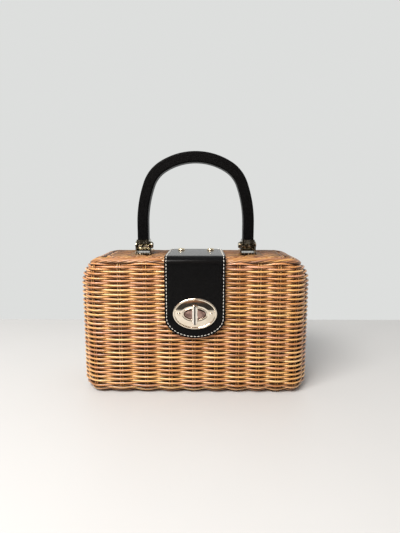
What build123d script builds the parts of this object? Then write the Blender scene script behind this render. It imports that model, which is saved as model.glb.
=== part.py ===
from build123d import *

import os
from math import cos, radians, sin

# Woven box bag in millimetres. The origin is on the ground under the middle of the basket.
# The flap and its turn lock face -Y, +X runs along the front and +Z points up.

# ---------------------------------------------------------------- driving dimensions

# Basket
body_length = 260.0
body_depth = 100.0
rim_height = 154.5
body_corner = 28.0
shoulder_round = 8.0
foot_round = 12.0
wall = 6.0
floor_thickness = 6.0
rim_thickness = 5.1
opening_length = 207.0
opening_depth = 72.0
opening_corner = 14.0

# Hoop that is lashed under the rim and carries the lid
hoop_thickness = 4.0
hoop_outside = 5.0
hoop_inside = 4.0
hoop_end_room = 0.3

# Lid
lid_thickness = 5.3
lid_rise = 0.5
lid_gap = 1.5
lid_edge_round = 1.2

# Leather strap over the lid, and the flap that hangs from it
strap_width = 66.0
leather = 2.4
strap_back_inset = 3.0
strap_corner = 8.0
bend_radius = 6.0
flap_stand_off = 1.6
flap_reach = 88.0
flap_end_rise = 23.0
strap_rivet_spacing = 36.0
strap_rivet_inset = 15.0

# Turn lock
lock_drop = 60.0
plate_length = 48.0
plate_height = 34.6
plate_thickness = 2.6
plate_rim = 3.2
plate_dish = 0.6
plate_edge_round = 1.2
slot_length = 23.8
slot_height = 11.7
plate_rivet_spacing = 35.0
backing_thickness = 0.8
backing_margin = 2.2
leather_slot_margin = 1.1
base_length = 28.4
base_height = 19.2
base_thickness = 1.2
boss_gap = 1.0
boss_proud = 0.8
base_rivet_spacing = 14.4
inner_plate_thickness = 1.0
knob_length = 21.7
knob_width = 6.0
knob_thickness = 4.0
knob_gap = 0.6
knob_edge_round = 1.2
knob_groove_width = 1.5
knob_groove_depth = 0.8
spindle_radius = 2.5
spindle_washer_radius = 4.5
spindle_washer_thickness = 1.0
spindle_clip_radius = 3.5
spindle_clip_thickness = 1.0

# Handle
handle_half_width = 68.3
handle_rise = 118.0
handle_face = 12.5
handle_depth = 16.0
handle_edge_round = 1.8
crown_radius = 78.0
shoulder_radius = 45.0
haunch_angle = 20.0
shoulder_angle = 58.0
cover_thickness = 1.5

# Ferrules, brackets and pivots
pivot_height = 9.7
ferrule_wall = 1.0
ferrule_tongue_radius = 7.0
ferrule_shoulder = 2.0
ferrule_top = 7.0
socket_floor = 2.4
core_end_radius = 5.5
cross_pin_height = 4.7
cross_pin_radius = 0.9
pivot_radius = 2.0
pivot_head_radius = 3.6
pivot_head_height = 2.2
pivot_tail_height = 0.8
ear_thickness = 1.6
ear_gap = 0.35
ear_half_depth = 6.0
ear_top = 4.5
bracket_thickness = 1.5
bracket_half_depth = 12.0
bracket_rivet_spacing = 18.0
bracket_backing_thickness = 1.0

# Lid hinges
hinge_spacing = 130.0
hinge_length = 20.0
leaf_depth = 8.0
leaf_thickness = 0.8
knuckle_radius = 1.7
hinge_pin_radius = 0.8
knuckle_gap = 0.35
leaf_gap = 0.3
hinge_clearance = 0.4
hinge_rivet_spacing = 12.0
hinge_rivet_reach = 5.4

# Rivets: shank radius, head radius, head height, tail radius, tail height
small_rivet = (0.9, 1.6, 0.6, 1.4, 0.5)
plate_rivet = (1.0, 1.8, 1.3, 1.6, 0.2)
bracket_rivet = (1.4, 2.2, 0.7, 2.2, 0.5)
strap_rivet = (1.6, 4.3, 2.2, 2.6, 0.6)
strap_washer_radius = 4.5
strap_washer_thickness = 0.8
dome_roundness = 0.7

# Clearances on the radius
fixed_fit = 0.02
running_fit = 0.05
spindle_room = 0.5

# ---------------------------------------------------------------- worked-out places

body_front = -body_depth / 2
lid_top = rim_height + lid_rise
lid_bottom = lid_top - lid_thickness
rim_bottom = rim_height - rim_thickness
hoop_bottom = rim_bottom - hoop_thickness
lid_front = -opening_depth / 2 + lid_gap
hinge_y = opening_depth / 2 - knuckle_radius - hinge_clearance
lid_back = hinge_y - knuckle_radius - hinge_clearance
lid_half_length = opening_length / 2 - lid_gap
rim_rivet_y = hinge_y + hinge_rivet_reach
lid_rivet_y = hinge_y - hinge_rivet_reach

strap_top_z = lid_top + leather
strap_back = lid_back - strap_back_inset
flap_back = body_front - flap_stand_off
flap_front = flap_back - leather
bend_y = flap_back + bend_radius
bend_z = lid_top - bend_radius
flap_bottom = lid_top - flap_reach
flap_tangent = flap_bottom + flap_end_rise

lock_z = lid_top - lock_drop
plate_front = flap_front - plate_thickness
boss_front = plate_front - boss_proud
knob_back = boss_front - knob_gap
inner_plate_back = body_front + wall + inner_plate_thickness
washer_front = inner_plate_back + running_fit + leaf_gap
clip_front = washer_front + spindle_washer_thickness
spindle_end = clip_front + spindle_clip_thickness

pivot_z = lid_top + pivot_height
leg_x = handle_half_width - handle_face / 2
ferrule_half_face = handle_face / 2 + ferrule_wall
ferrule_half_depth = handle_depth / 2 + ferrule_wall
ear_inside = ferrule_half_face + ear_gap
ear_outside = ear_inside + ear_thickness
apex_z = lid_top + handle_rise

side_names = {-1: "left", 1: "right"}
nodes = {}


# ---------------------------------------------------------------- small helpers

def block(x0, x1, y0, y1, z0, z1):
    """A box between two corners."""
    centre = Pos((x0 + x1) / 2, (y0 + y1) / 2, (z0 + z1) / 2)
    return centre * Box(x1 - x0, y1 - y0, z1 - z0)


def slab(x0, x1, y0, y1, corner, z0, z1):
    """A plate with rounded corners, lying flat."""
    outline = Pos((x0 + x1) / 2, (y0 + y1) / 2, z0) * RectangleRounded(x1 - x0, y1 - y0, corner)
    return extrude(outline, z1 - z0)


def rod(start, end, radius):
    """A round bar between two points on a line along one axis."""
    start, end = Vector(start), Vector(end)
    return extrude(Plane(origin=start, z_dir=end - start) * Circle(radius), (end - start).length)


def upright(face, front, back):
    """A flat outline drawn in X and Z, filled from its front Y to its back Y."""
    return extrude(Plane(origin=(0, back, 0), x_dir=(1, 0, 0), z_dir=(0, -1, 0)) * face, back - front)


def oval(length, height, front, back):
    """An upright oval plate centred on the lock."""
    return upright(Pos(0, lock_z) * Ellipse(length / 2, height / 2), front, back)


def dome(centre, direction, radius, height):
    """A round head with a softened top edge, standing on a surface."""
    head = extrude(Plane(origin=centre, z_dir=direction) * Circle(radius), height)
    top = head.faces().sort_by(Axis(centre, direction))[-1]
    return fillet(top.edges(), height * dome_roundness)


def rivet(head_seat, tail_seat, sizes):
    """A domed rivet from the surface under its head to the surface under its tail."""
    shank, head_radius, head_height, tail_radius, tail_height = sizes
    head_seat, tail_seat = Vector(head_seat), Vector(tail_seat)
    outward = (head_seat - tail_seat).normalized()
    tail_end = tail_seat - outward * tail_height
    body = rod(tail_end, head_seat, shank)
    body += dome(head_seat, outward, head_radius, head_height)
    body += rod(tail_end, tail_seat, tail_radius)
    return body


def rivet_hole(start, end, sizes):
    """The hole that a rivet's shank passes through."""
    return rod(start, end, sizes[0] + fixed_fit)


# ---------------------------------------------------------------- basket, hoop and lid

def round_ended(half_length, half_depth, corner, bottom, top):
    """An upright box with round corners, whose ends curve over into its top as widely as its corners turn."""
    box = slab(-half_length, half_length, -half_depth, half_depth, corner, bottom, top)
    drop = top - bottom + corner
    outline = Pos(0, top - drop / 2) * RectangleRounded(2 * half_length, drop, corner)
    return box & upright(outline, -half_depth - 1, half_depth + 1)


def make_cavity(end_room=0.0):
    """The room inside the basket, under the rim, or a little short of its curved ends."""
    half_length = body_length / 2 - wall - end_room
    return round_ended(half_length, body_depth / 2 - wall, body_corner - wall, floor_thickness, rim_bottom)


def make_basket():
    """The woven shell: rounded box, hollow inside, with a rim that turns in round the lid."""
    shell = round_ended(body_length / 2, body_depth / 2, body_corner, 0, rim_height)
    shell = fillet(shell.faces().sort_by(Axis.Z)[0].edges(), foot_round)
    end_round = body_corner
    brow = [e for e in shell.edges() if e.center().Z > rim_height - end_round and abs(e.center().Y) > body_depth / 4]
    shell = fillet(brow, shoulder_round)
    shell -= make_cavity()
    half_x, half_y = opening_length / 2, opening_depth / 2
    shell -= slab(-half_x, half_x, -half_y, half_y, opening_corner, rim_bottom - 1, rim_height + 1)
    shell -= rod((0, body_front - 1, lock_z), (0, body_front + wall + 1, lock_z), spindle_radius + spindle_room)
    for z in base_rivet_heights():
        shell -= rivet_hole((0, body_front - 1, z), (0, body_front + wall + 1, z), small_rivet)
    for x in hinge_rivet_places():
        shell -= rivet_hole((x, rim_rivet_y, rim_bottom - 1), (x, rim_rivet_y, rim_height + 1), small_rivet)
    return shell


def make_hoop():
    """A flat cane ring under the rim, reaching under the lid's edge."""
    out_x, out_y = opening_length / 2 + hoop_outside, opening_depth / 2 + hoop_outside
    in_x, in_y = opening_length / 2 - hoop_inside, opening_depth / 2 - hoop_inside
    ring = slab(-out_x, out_x, -out_y, out_y, opening_corner + hoop_outside, hoop_bottom, rim_bottom)
    ring -= slab(-in_x, in_x, -in_y, in_y, opening_corner - hoop_inside, hoop_bottom - 1, rim_bottom + 1)
    ring &= make_cavity(hoop_end_room)
    for x in hinge_rivet_places():
        ring -= rivet_hole((x, rim_rivet_y, hoop_bottom - 1), (x, rim_rivet_y, rim_bottom + 1), small_rivet)
    return ring


def make_lid():
    """The flat woven panel, with the holes of everything that is riveted to it."""
    panel = slab(-lid_half_length, lid_half_length, lid_front, lid_back, opening_corner - lid_gap, lid_bottom, lid_top)
    panel = fillet(panel.faces().sort_by(Axis.Z)[-1].edges(), lid_edge_round)
    for x, y in strap_rivet_places():
        panel -= rivet_hole((x, y, lid_bottom - 1), (x, y, lid_top + 1), strap_rivet)
    for side in side_names:
        for x, y in bracket_rivet_places(side):
            panel -= rivet_hole((x, y, lid_bottom - 1), (x, y, lid_top + 1), bracket_rivet)
    for x in hinge_rivet_places():
        panel -= rivet_hole((x, lid_rivet_y, lid_bottom - 1), (x, lid_rivet_y, lid_top + 1), small_rivet)
    return panel


# ---------------------------------------------------------------- strap and flap

def bend_sector(start_angle, end_angle):
    """A piece of the strap's bend over the front rim, between two angles up from +Y."""
    span = end_angle - start_angle
    outside = CenterArc((0, 0), bend_radius + leather, start_angle, span)
    inside = CenterArc((0, 0), bend_radius, start_angle, span)
    outline = [outside, inside, Line(outside @ 0, inside @ 0), Line(outside @ 1, inside @ 1)]
    profile = Plane.YZ * Pos(bend_y, bend_z) * make_face(outline)
    return extrude(profile, strap_width / 2, both=True)


def strap_rivet_places():
    """Where the strap's two rivets stand, near its back end."""
    y = strap_back - strap_rivet_inset
    return [(side * strap_rivet_spacing / 2, y) for side in side_names]


def make_strap():
    """The leather on the lid, with the first half of the bend."""
    half = strap_width / 2
    strap = block(-half, half, bend_y, strap_back, lid_top, strap_top_z)
    back_corners = strap.edges().filter_by(Axis.Z).group_by(Axis.Y)[-1]
    strap = fillet(back_corners, strap_corner)
    strap += bend_sector(90, 135)
    for x, y in strap_rivet_places():
        strap -= rivet_hole((x, y, lid_top - 1), (x, y, strap_top_z + 1), strap_rivet)
    return strap


def make_flap():
    """The hanging leather: second half of the bend, straight sides and a rounded end."""
    half = strap_width / 2
    face = Pos(0, (bend_z + flap_tangent) / 2) * Rectangle(strap_width, bend_z - flap_tangent)
    face += Pos(0, flap_tangent) * Ellipse(half, flap_end_rise)
    flap = upright(face, flap_front, flap_back) + bend_sector(135, 180)
    slot_margin = 2 * leather_slot_margin
    flap -= oval(slot_length + slot_margin, slot_height + slot_margin, flap_front - 1, flap_back + 1)
    for x in plate_rivet_places():
        flap -= rivet_hole((x, flap_front - 1, lock_z), (x, flap_back + 1, lock_z), plate_rivet)
    return flap


def make_strap_fixings():
    """The strap's rivets, and the washers that they close on under the lid."""
    washer_bottom = lid_bottom - strap_washer_thickness
    rivets, washers = [], []
    for x, y in strap_rivet_places():
        rivets.append(rivet((x, y, strap_top_z), (x, y, washer_bottom), strap_rivet))
        washer = rod((x, y, washer_bottom), (x, y, lid_bottom), strap_washer_radius)
        washers.append(washer - rivet_hole((x, y, washer_bottom - 1), (x, y, lid_bottom + 1), strap_rivet))
    nodes["strap_rivets"] = rivets
    nodes["strap_washers"] = washers


# ---------------------------------------------------------------- turn lock

def plate_rivet_places():
    """X of the two rivets through the lock's front plate."""
    return [side * plate_rivet_spacing / 2 for side in side_names]


def base_rivet_heights():
    """Z of the two rivets through the lock's base."""
    return [lock_z + side * base_rivet_spacing / 2 for side in side_names]


def make_lock_front():
    """The oval plate on the flap, its backing ring and the rivets that join them."""
    plate = oval(plate_length, plate_height, plate_front, flap_front)
    plate = fillet(plate.faces().sort_by(Axis.Y)[0].edges(), plate_edge_round)
    dish_length, dish_height = plate_length - 2 * plate_rim, plate_height - 2 * plate_rim
    plate -= oval(dish_length, dish_height, plate_front - 1, plate_front + plate_dish)
    plate -= oval(slot_length, slot_height, plate_front - 1, flap_front + 1)
    ring_front, ring_back = flap_back, flap_back + backing_thickness
    ring = oval(plate_length - 2 * backing_margin, plate_height - 2 * backing_margin, ring_front, ring_back)
    ring -= oval(base_length + 2 * boss_gap, base_height + 2 * boss_gap, ring_front - 1, ring_back + 1)
    rivets = []
    for x in plate_rivet_places():
        hole = rivet_hole((x, plate_front - 1, lock_z), (x, ring_back + 1, lock_z), plate_rivet)
        plate -= hole
        ring -= hole
        rivets.append(rivet((x, plate_front + plate_dish, lock_z), (x, ring_back, lock_z), plate_rivet))
    nodes["lock_plate"] = [plate]
    nodes["lock_plate_backing"] = [ring]
    nodes["lock_plate_rivets"] = rivets


def make_lock_back():
    """The base with its boss on the basket, the plate inside and the rivets between them."""
    wall_inside = body_front + wall
    base = oval(base_length, base_height, body_front - base_thickness, body_front)
    base += oval(slot_length - 2 * boss_gap, slot_height - 2 * boss_gap, boss_front, body_front)
    base -= rod((0, boss_front - 1, lock_z), (0, body_front + 1, lock_z), spindle_radius + running_fit)
    inner = oval(base_length, base_height, wall_inside, inner_plate_back)
    inner -= rod((0, wall_inside - 1, lock_z), (0, inner_plate_back + 1, lock_z), spindle_radius + running_fit)
    rivets = []
    for z in base_rivet_heights():
        base_front = body_front - base_thickness
        hole = rivet_hole((0, boss_front - 1, z), (0, inner_plate_back + 1, z), small_rivet)
        base -= hole
        inner -= hole
        shank = rod((0, base_front, z), (0, inner_plate_back, z), small_rivet[0])
        tail = dome((0, inner_plate_back, z), (0, 1, 0), small_rivet[1], small_rivet[2])
        rivets.append(shank + tail)
    nodes["lock_base"] = [base]
    nodes["lock_inner_plate"] = [inner]
    nodes["lock_base_rivets"] = rivets


def make_knob():
    """The turning bar with its spindle, and the washer and clip that hold it inside."""
    knob_front = knob_back - knob_thickness
    bar = upright(Pos(0, lock_z) * Rot(0, 0, 90) * SlotOverall(knob_length, knob_width), knob_front, knob_back)
    bar = fillet(bar.faces().sort_by(Axis.Y)[0].edges(), knob_edge_round)
    groove = Pos(0, lock_z) * Rot(0, 0, 90) * SlotOverall(knob_length - knob_width, knob_groove_width)
    bar -= upright(groove, knob_front - 1, knob_front + knob_groove_depth)
    bar += rod((0, knob_back - 1, lock_z), (0, spindle_end, lock_z), spindle_radius)
    hole = rod((0, washer_front - 1, lock_z), (0, spindle_end + 1, lock_z), spindle_radius + fixed_fit)
    washer = rod((0, washer_front, lock_z), (0, clip_front, lock_z), spindle_washer_radius) - hole
    clip = rod((0, clip_front, lock_z), (0, spindle_end, lock_z), spindle_clip_radius) - hole
    nodes["lock_knob"] = [bar]
    nodes["knob_washer"] = [washer]
    nodes["knob_clip"] = [clip]


# ---------------------------------------------------------------- handle

def arch_face(outside, inside, foot_z):
    """The arch in X and Z between two offsets from its outer outline, down to its feet."""
    a, b = radians(haunch_angle), radians(shoulder_angle)
    reach = handle_half_width - shoulder_radius * (cos(a) - cos(b)) - crown_radius * cos(b)
    haunch_radius = reach / (1 - cos(a))
    crown_z = apex_z - crown_radius
    shoulder_x = (crown_radius - shoulder_radius) * cos(b)
    shoulder_z = crown_z + (crown_radius - shoulder_radius) * sin(b)
    haunch_x = shoulder_x - (haunch_radius - shoulder_radius) * cos(a)
    haunch_z = shoulder_z - (haunch_radius - shoulder_radius) * sin(a)

    def outline(offset):
        edges = []
        leg = handle_half_width - offset
        for side in (1, -1):
            def point(centre_x, centre_z, radius, angle, side=side):
                return (side * (centre_x + (radius - offset) * cos(angle)), centre_z + (radius - offset) * sin(angle))
            spring = point(haunch_x, haunch_z, haunch_radius, 0)
            edges.append(Line((side * leg, foot_z), spring))
            haunch_end = point(haunch_x, haunch_z, haunch_radius, a)
            edges.append(ThreePointArc(spring, point(haunch_x, haunch_z, haunch_radius, a / 2), haunch_end))
            shoulder_mid = point(shoulder_x, shoulder_z, shoulder_radius, (a + b) / 2)
            shoulder_end = point(shoulder_x, shoulder_z, shoulder_radius, b)
            edges.append(ThreePointArc(haunch_end, shoulder_mid, shoulder_end))
        crown_end = point(0, crown_z, crown_radius, b)
        edges.append(ThreePointArc((-crown_end[0], crown_end[1]), (0, apex_z - offset), crown_end))
        return edges

    feet = []
    for side in side_names:
        start = (side * (handle_half_width - outside), foot_z)
        feet.append(Line(start, (side * (handle_half_width - inside), foot_z)))
    return make_face(outline(outside) + outline(inside) + feet)


def make_handle():
    """The core, which reaches down to the pivots, and the leather round it."""
    foot_z = pivot_z + socket_floor
    half = handle_depth / 2
    core_half = half - cover_thickness
    inner_offset = handle_face - cover_thickness
    cover = upright(arch_face(0, handle_face, foot_z), -half, half)
    long_edges = [edge for edge in cover.edges() if edge.center().Z > foot_z + 1]
    cover = fillet(long_edges, handle_edge_round)
    cover -= upright(arch_face(cover_thickness, inner_offset, foot_z - 1), -core_half, core_half)
    core = upright(arch_face(cover_thickness, inner_offset, foot_z), -core_half, core_half)
    core_half_face = handle_face / 2 - cover_thickness
    for side in side_names:
        x = side * leg_x
        core += block(x - core_half_face, x + core_half_face, -core_end_radius, core_end_radius, pivot_z, foot_z)
        core += rod((x - core_half_face, 0, pivot_z), (x + core_half_face, 0, pivot_z), core_end_radius)
        core -= pivot_line(side, pivot_radius + running_fit)
        core -= cross_pin_line(side, cross_pin_radius + fixed_fit)
        cover -= cross_pin_line(side, cross_pin_radius + fixed_fit)
    nodes["handle_core"] = [core]
    nodes["handle_cover"] = [cover]


def pivot_line(side, radius):
    """A bar along one pivot, past both ears."""
    x = side * leg_x
    return rod((x - ear_outside - 1, 0, pivot_z), (x + ear_outside + 1, 0, pivot_z), radius)


def cross_pin_line(side, radius):
    """A bar along the small pin that holds one leg in its ferrule."""
    x, z = side * leg_x, pivot_z + cross_pin_height
    return rod((x - ferrule_half_face, 0, z), (x + ferrule_half_face, 0, z), radius)


def make_ferrule(side):
    """A metal cap round one leg: square socket above, rounded tongue below."""
    x = side * leg_x
    half = ferrule_half_depth
    face = Rectangle(2 * half, ferrule_top - ferrule_shoulder)
    face = Pos(0, (ferrule_top + ferrule_shoulder) / 2) * face
    neck = [(-ferrule_tongue_radius, 0), (-half, ferrule_shoulder), (half, ferrule_shoulder), (ferrule_tongue_radius, 0)]
    face += make_face(Polyline(*neck, close=True))
    face += Circle(ferrule_tongue_radius)
    profile = Plane(origin=(x, 0, pivot_z), x_dir=(0, 1, 0), z_dir=(1, 0, 0)) * face
    cap = extrude(profile, ferrule_half_face, both=True)
    socket_x = handle_face / 2 + fixed_fit
    socket_y = handle_depth / 2 + fixed_fit
    cap -= block(x - socket_x, x + socket_x, -socket_y, socket_y, pivot_z + socket_floor, pivot_z + ferrule_top + 1)
    core_x = handle_face / 2 - cover_thickness + fixed_fit
    core_r = core_end_radius + fixed_fit
    cap -= block(x - core_x, x + core_x, -core_r, core_r, pivot_z, pivot_z + socket_floor + 1)
    cap -= rod((x - core_x, 0, pivot_z), (x + core_x, 0, pivot_z), core_r)
    cap -= pivot_line(side, pivot_radius + running_fit)
    cap -= cross_pin_line(side, cross_pin_radius + fixed_fit)
    return cap


# ---------------------------------------------------------------- brackets on the lid

def bracket_rivet_places(side):
    """Where one bracket's two rivets stand, in front of and behind the ferrule."""
    return [(side * leg_x, end * bracket_rivet_spacing / 2) for end in (-1, 1)]


def make_bracket(side):
    """A channel with two rounded ears, open to the front and the back."""
    x = side * leg_x
    base_top = lid_top + bracket_thickness
    shape = block(x - ear_outside, x + ear_outside, -bracket_half_depth, bracket_half_depth, lid_top, base_top)
    ear_top_z = pivot_z + ear_top
    for end in (-1, 1):
        x0, x1 = sorted((x + end * ear_inside, x + end * ear_outside))
        ear = block(x0, x1, -ear_half_depth, ear_half_depth, lid_top, ear_top_z)
        ear = fillet(ear.edges().filter_by(Axis.X).group_by(Axis.Z)[-1], ear_top)
        shape += ear
    shape -= pivot_line(side, pivot_radius + fixed_fit)
    for rivet_x, y in bracket_rivet_places(side):
        shape -= rivet_hole((rivet_x, y, lid_top - 1), (rivet_x, y, base_top + 1), bracket_rivet)
        sunk = base_top - bracket_rivet[2]
        shape -= rod((rivet_x, y, sunk), (rivet_x, y, base_top + 1), bracket_rivet[1] + fixed_fit)
    return shape


def make_bracket_fixings(side):
    """The pivot pin, the plate under the lid and the flush rivets of one bracket."""
    name = side_names[side]
    x = side * leg_x
    plate_bottom = lid_bottom - bracket_backing_thickness
    inner, outer = x - side * ear_outside, x + side * ear_outside
    pin = rod((inner, 0, pivot_z), (outer, 0, pivot_z), pivot_radius)
    pin += dome((inner, 0, pivot_z), (-side, 0, 0), pivot_head_radius, pivot_head_height)
    tail = (outer + side * pivot_tail_height, 0, pivot_z)
    pin += rod((outer, 0, pivot_z), tail, pivot_radius + pivot_tail_height)
    half_x, half_y = ear_outside, bracket_half_depth
    backing = block(x - half_x, x + half_x, -half_y, half_y, plate_bottom, lid_bottom)
    rivets = []
    shank, head_radius, head_height, tail_radius, tail_height = bracket_rivet
    head_top = lid_top + bracket_thickness
    for rivet_x, y in bracket_rivet_places(side):
        backing -= rivet_hole((rivet_x, y, plate_bottom - 1), (rivet_x, y, lid_bottom + 1), bracket_rivet)
        body = rod((rivet_x, y, plate_bottom - tail_height), (rivet_x, y, head_top), shank)
        body += rod((rivet_x, y, head_top - head_height), (rivet_x, y, head_top), head_radius)
        body += rod((rivet_x, y, plate_bottom - tail_height), (rivet_x, y, plate_bottom), tail_radius)
        rivets.append(body)
    nodes[f"pivot_pin_{name}"] = [pin]
    nodes[f"bracket_backing_{name}"] = [backing]
    nodes[f"bracket_rivets_{name}"] = rivets


# ---------------------------------------------------------------- hinges

def hinge_rivet_places():
    """X of the four rivets on one row of the hinges."""
    places = []
    for side in side_names:
        centre = side * hinge_spacing / 2
        places += [centre + end * hinge_rivet_spacing / 2 for end in (-1, 1)]
    return places


def make_leaf(side, toward, seat_z, rivet_y, knuckles):
    """One leaf of a hinge: a plate that starts clear of the knuckles, and its own knuckles."""
    centre = side * hinge_spacing / 2
    near = hinge_y + toward * (knuckle_radius + leaf_gap)
    far = hinge_y + toward * (leaf_depth - leaf_gap)
    y0, y1 = sorted((near, far))
    top = seat_z + leaf_thickness
    leaf = block(centre - hinge_length / 2, centre + hinge_length / 2, y0, y1, seat_z, top)
    for x0, x1 in knuckles:
        leaf += rod((centre + x0, hinge_y, lid_top), (centre + x1, hinge_y, lid_top), knuckle_radius)
        y0, y1 = sorted((hinge_y, near))
        leaf += block(centre + x0, centre + x1, y0, y1, seat_z, top)
    for x in hinge_rivet_places():
        leaf -= rivet_hole((x, rivet_y, seat_z - 1), (x, rivet_y, top + 1), small_rivet)
    return leaf


def make_hinge(side):
    """Two leaves and the pin that is held in the basket's leaf."""
    name = side_names[side]
    centre = side * hinge_spacing / 2
    half = hinge_length / 2
    third = hinge_length / 6
    ends = [(-half, -third - knuckle_gap / 2), (third + knuckle_gap / 2, half)]
    middle = [(-third + knuckle_gap / 2, third - knuckle_gap / 2)]
    bore_start, bore_end = (centre - half - 1, hinge_y, lid_top), (centre + half + 1, hinge_y, lid_top)
    basket_leaf = make_leaf(side, 1, rim_height, rim_rivet_y, ends)
    lid_leaf = make_leaf(side, -1, lid_top, lid_rivet_y, middle)
    nodes[f"hinge_leaf_basket_{name}"] = [basket_leaf - rod(bore_start, bore_end, hinge_pin_radius + fixed_fit)]
    nodes[f"hinge_leaf_lid_{name}"] = [lid_leaf - rod(bore_start, bore_end, hinge_pin_radius + running_fit)]
    pin_start, pin_end = (centre - half, hinge_y, lid_top), (centre + half, hinge_y, lid_top)
    nodes[f"hinge_pin_{name}"] = [rod(pin_start, pin_end, hinge_pin_radius)]


def make_hinge_rivets():
    """The rivets of both hinges, through the rim and hoop and through the lid."""
    rim_top, panel_top = rim_height + leaf_thickness, lid_top + leaf_thickness
    rim_row, lid_row = [], []
    for x in hinge_rivet_places():
        rim_row.append(rivet((x, rim_rivet_y, rim_top), (x, rim_rivet_y, hoop_bottom), small_rivet))
        lid_row.append(rivet((x, lid_rivet_y, panel_top), (x, lid_rivet_y, lid_bottom), small_rivet))
    nodes["hinge_rivets_basket"] = rim_row
    nodes["hinge_rivets_lid"] = lid_row


# ---------------------------------------------------------------- build and write

nodes["basket_body"] = [make_basket()]
nodes["rim_hoop"] = [make_hoop()]
nodes["basket_lid"] = [make_lid()]
nodes["strap"] = [make_strap()]
nodes["flap"] = [make_flap()]
make_strap_fixings()
make_lock_front()
make_lock_back()
make_knob()
make_handle()
for side, name in side_names.items():
    nodes[f"ferrule_{name}"] = [make_ferrule(side)]
    nodes[f"ferrule_pin_{name}"] = [cross_pin_line(side, cross_pin_radius)]
    nodes[f"bracket_{name}"] = [make_bracket(side)]
    make_bracket_fixings(side)
    make_hinge(side)
make_hinge_rivets()

os.makedirs("parts", exist_ok=True)
for name, solids in nodes.items():
    whole = [solid for shape in solids for solid in shape.solids()]
    export_step(Compound(children=whole) if len(whole) > 1 else whole[0], f"parts/{name}.step")
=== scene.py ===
import random
from math import copysign, cos, pi, radians, sin, sqrt

import bpy
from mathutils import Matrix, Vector


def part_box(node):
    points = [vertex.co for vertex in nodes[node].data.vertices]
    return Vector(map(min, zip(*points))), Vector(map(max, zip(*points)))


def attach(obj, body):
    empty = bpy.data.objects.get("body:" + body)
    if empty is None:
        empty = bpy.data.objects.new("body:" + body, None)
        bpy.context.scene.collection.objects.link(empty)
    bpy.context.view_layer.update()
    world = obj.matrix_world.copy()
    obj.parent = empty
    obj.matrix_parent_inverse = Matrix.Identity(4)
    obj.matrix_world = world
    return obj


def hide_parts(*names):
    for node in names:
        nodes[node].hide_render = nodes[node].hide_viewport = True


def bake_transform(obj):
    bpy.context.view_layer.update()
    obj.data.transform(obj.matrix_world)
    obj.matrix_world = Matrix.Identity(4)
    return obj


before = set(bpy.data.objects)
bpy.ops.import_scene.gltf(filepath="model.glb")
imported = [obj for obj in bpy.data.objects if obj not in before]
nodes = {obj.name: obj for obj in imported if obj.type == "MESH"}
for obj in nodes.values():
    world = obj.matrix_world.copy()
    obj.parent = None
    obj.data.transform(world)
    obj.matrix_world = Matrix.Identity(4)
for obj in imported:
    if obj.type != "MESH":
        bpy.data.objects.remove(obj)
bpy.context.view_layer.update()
print("frame loaded:", len(nodes), "nodes")

mm = 0.001
upward = Vector((0, 0, 1))
random.seed(41)


# small helpers

def clearSelection():
    bpy.ops.object.select_all(action="DESELECT")


def pickOnly(piece):
    clearSelection()
    piece.select_set(True)
    bpy.context.view_layer.objects.active = piece


def settle(piece):
    # puts the place, turn and size of a piece into its mesh
    pickOnly(piece)
    bpy.ops.object.transform_apply(location=True, rotation=True, scale=True)


def applyAll(piece):
    pickOnly(piece)
    for modifier in list(piece.modifiers):
        bpy.ops.object.modifier_apply(modifier=modifier.name)


def smoothUpTo(piece, degrees):
    # smooth shading, with an edge kept sharp where its faces turn by more than this
    pickOnly(piece)
    bpy.ops.object.shade_smooth_by_angle(angle=radians(degrees))


def meshPiece(name, points, faces):
    mesh = bpy.data.meshes.new(name)
    mesh.from_pydata([tuple(point) for point in points], [], faces)
    piece = bpy.data.objects.new(name, mesh)
    bpy.context.scene.collection.objects.link(piece)
    return piece


def cleanActive(gap):
    # joins points of the active piece that are closer than the gap, and turns its faces outward
    bpy.ops.object.mode_set(mode="EDIT")
    bpy.ops.mesh.select_all(action="SELECT")
    bpy.ops.mesh.remove_doubles(threshold=gap)
    bpy.ops.mesh.normals_make_consistent(inside=False)
    bpy.ops.object.mode_set(mode="OBJECT")


def setMaterial(piece, material):
    piece.data.materials.clear()
    piece.data.materials.append(material)


def finishPiece(piece, material, body, replaced=()):
    setMaterial(piece, material)
    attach(piece, body)
    if replaced:
        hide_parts(*replaced)


plateLow, plateHigh = (Vector(corner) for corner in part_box("lock_plate"))
plateMiddle = (plateLow + plateHigh) / 2


# ---- materials

def newMaterial(name):
    material = bpy.data.materials.new(name)
    material.use_nodes = True
    tree = material.node_tree
    return material, tree, tree.nodes["Principled BSDF"]


def setInputs(tree, node, values):
    for key, value in values.items():
        if isinstance(value, bpy.types.NodeSocket):
            tree.links.new(value, node.inputs[key])
        else:
            node.inputs[key].default_value = value


def addNode(tree, kind, values=None, **settings):
    node = tree.nodes.new("ShaderNode" + kind)
    for key, value in settings.items():
        setattr(node, key, value)
    setInputs(tree, node, values or {})
    return node


def objectPlace(tree):
    return addNode(tree, "TexCoord").outputs["Object"]


def mathStep(tree, operation, first, second=0.0):
    return addNode(tree, "Math", {0: first, 1: second}, operation=operation).outputs[0]


def weigh(tree, values, weights):
    return [mathStep(tree, "MULTIPLY", value, weight) for value, weight in zip(values, weights)]


def weighedSum(tree, values, weights):
    total, *parts = weigh(tree, values, weights)
    for part in parts:
        total = mathStep(tree, "ADD", total, part)
    return total


def weighedPlace(tree, values, weights):
    parts = weigh(tree, values, weights)
    return addNode(tree, "CombineXYZ", dict(enumerate(parts))).outputs[0]


def mixColours(tree, share, first, second, blend="MIX"):
    values = {0: share, 6: first, 7: second}
    return addNode(tree, "Mix", values, data_type="RGBA", blend_type=blend).outputs[2]


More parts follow.
